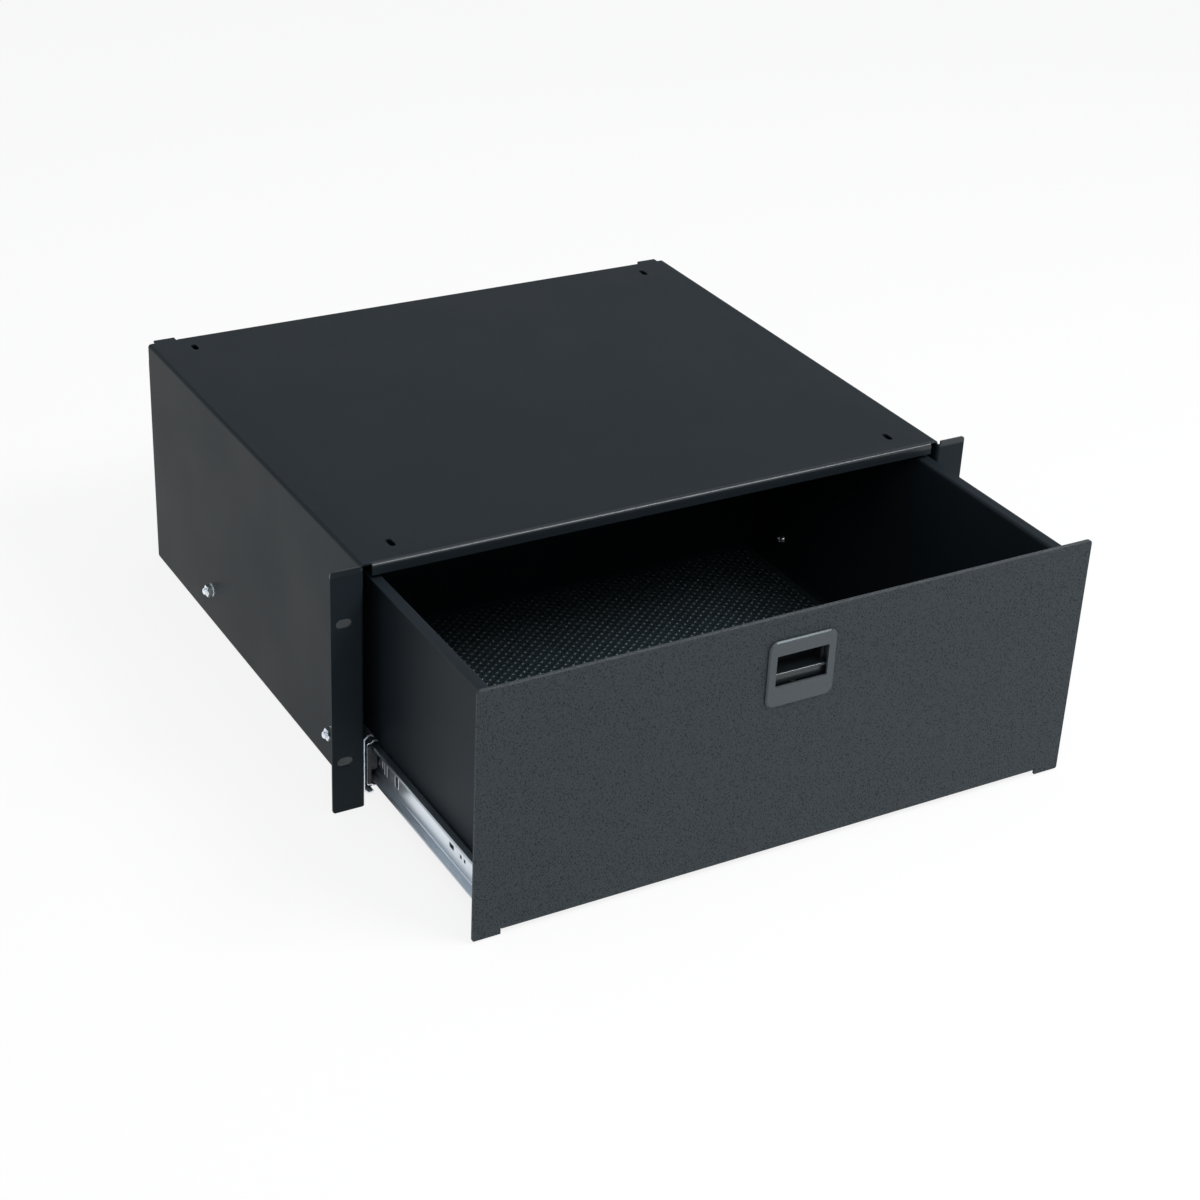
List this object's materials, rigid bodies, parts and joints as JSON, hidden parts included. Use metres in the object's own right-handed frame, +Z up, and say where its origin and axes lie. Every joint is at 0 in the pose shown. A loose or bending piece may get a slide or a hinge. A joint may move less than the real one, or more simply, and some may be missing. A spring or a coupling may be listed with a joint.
{
  "type": "sliding rack drawer",
  "caption": "Open-top steel drawer on ball-bearing slides in a folded rack case with mounting ears, flat front panel and a black finger latch.",
  "frame": {"origin": "centre of the rectangle of the four rack slots, on the rear face of the ears, where they meet the rack's rails", "axes": "+X to the right across the rack, +Y into the rack towards the case's rear, +Z up; the drawer pulls out along -Y"},
  "size_m": [0.4826, 0.5483, 0.177],
  "materials": {
    "case_powder_coat": "fine charcoal powder coat on folded steel",
    "front_powder_coat": "coarse speckled charcoal powder coat",
    "black_rivet": "powder coated with the case",
    "slide_zinc": "bright bluish zinc plate",
    "cage_zinc": "dull zinc plate",
    "ball_steel": "polished bearing steel",
    "stop_plastic": "moulded black plastic",
    "fastener_zinc": "zinc plate",
    "buffer_rubber": "black rubber",
    "mat_rubber": "black rubber with raised oval studs",
    "latch_plastic": "black satin moulding",
    "spring_steel": "bright spring wire"
  },
  "bodies": {
    "case": {"case_shell": "case_powder_coat", "case_bottom": "case_powder_coat", "case_rear_panel": "case_powder_coat", "rear_rivets": "black_rivet", "slide_screws": "fastener_zinc", "toothed_washers": "fastener_zinc", "slide_nuts": "fastener_zinc", "rear_buffers": "buffer_rubber", "left_outer_member": "slide_zinc", "right_outer_member": "slide_zinc"},
    "left_intermediate": {"left_middle_member": "slide_zinc", "left_middle_stop": "stop_plastic"},
    "right_intermediate": {"right_middle_member": "slide_zinc", "right_middle_stop": "stop_plastic"},
    "left_outer_bearing": {"left_outer_cage": "cage_zinc", "left_outer_balls": "ball_steel"},
    "right_outer_bearing": {"right_outer_cage": "cage_zinc", "right_outer_balls": "ball_steel"},
    "left_inner_bearing": {"left_inner_cage": "cage_zinc", "left_inner_balls": "ball_steel"},
    "right_inner_bearing": {"right_inner_cage": "cage_zinc", "right_inner_balls": "ball_steel"},
    "drawer": {"drawer_tray": "case_powder_coat", "drawer_back": "case_powder_coat", "floor_mat": "mat_rubber", "tray_screws": "fastener_zinc", "front_panel": "front_powder_coat", "panel_studs": "fastener_zinc", "panel_nuts": "fastener_zinc", "latch_housing": "latch_plastic", "latch_cover": "latch_plastic", "latch_spring": "spring_steel", "left_drawer_member": "slide_zinc", "right_drawer_member": "slide_zinc"},
    "latch": {"latch_slider": "latch_plastic"}
  },
  "joints": [
    {"name": "intermediate_slide", "type": "slide", "parent": "case", "child": "left_intermediate", "axis": [0, -1, 0], "range_m": [0, 0.175]},
    {"name": "right_intermediate_slide", "type": "slide", "parent": "case", "child": "right_intermediate", "axis": [0, -1, 0], "range_m": [0, 0.175]},
    {"name": "left_outer_bearing_slide", "type": "slide", "parent": "case", "child": "left_outer_bearing", "axis": [0, -1, 0], "range_m": [0, 0.0875]},
    {"name": "right_outer_bearing_slide", "type": "slide", "parent": "case", "child": "right_outer_bearing", "axis": [0, -1, 0], "range_m": [0, 0.0875]},
    {"name": "drawer_slide", "type": "slide", "parent": "left_intermediate", "child": "drawer", "axis": [0, -1, 0], "range_m": [-0.16, 0.015]},
    {"name": "left_inner_bearing_slide", "type": "slide", "parent": "left_intermediate", "child": "left_inner_bearing", "axis": [0, -1, 0], "range_m": [-0.08, 0.0075]},
    {"name": "right_inner_bearing_slide", "type": "slide", "parent": "right_intermediate", "child": "right_inner_bearing", "axis": [0, -1, 0], "range_m": [-0.08, 0.0075]},
    {"name": "latch_slide", "type": "slide", "parent": "drawer", "child": "latch", "axis": [0, 0, -1], "range_m": [0, 0.0075], "stiffness_N_per_m": 400, "springref_m": -0.01, "deforming": ["latch_spring"]}
  ],
  "couplings": [
    {"joint": "right_intermediate_slide", "follows": "intermediate_slide", "ratio": 1},
    {"joint": "left_outer_bearing_slide", "follows": "intermediate_slide", "ratio": 0.5},
    {"joint": "right_outer_bearing_slide", "follows": "intermediate_slide", "ratio": 0.5},
    {"joint": "left_inner_bearing_slide", "follows": "drawer_slide", "ratio": 0.5},
    {"joint": "right_inner_bearing_slide", "follows": "drawer_slide", "ratio": 0.5}
  ]
}
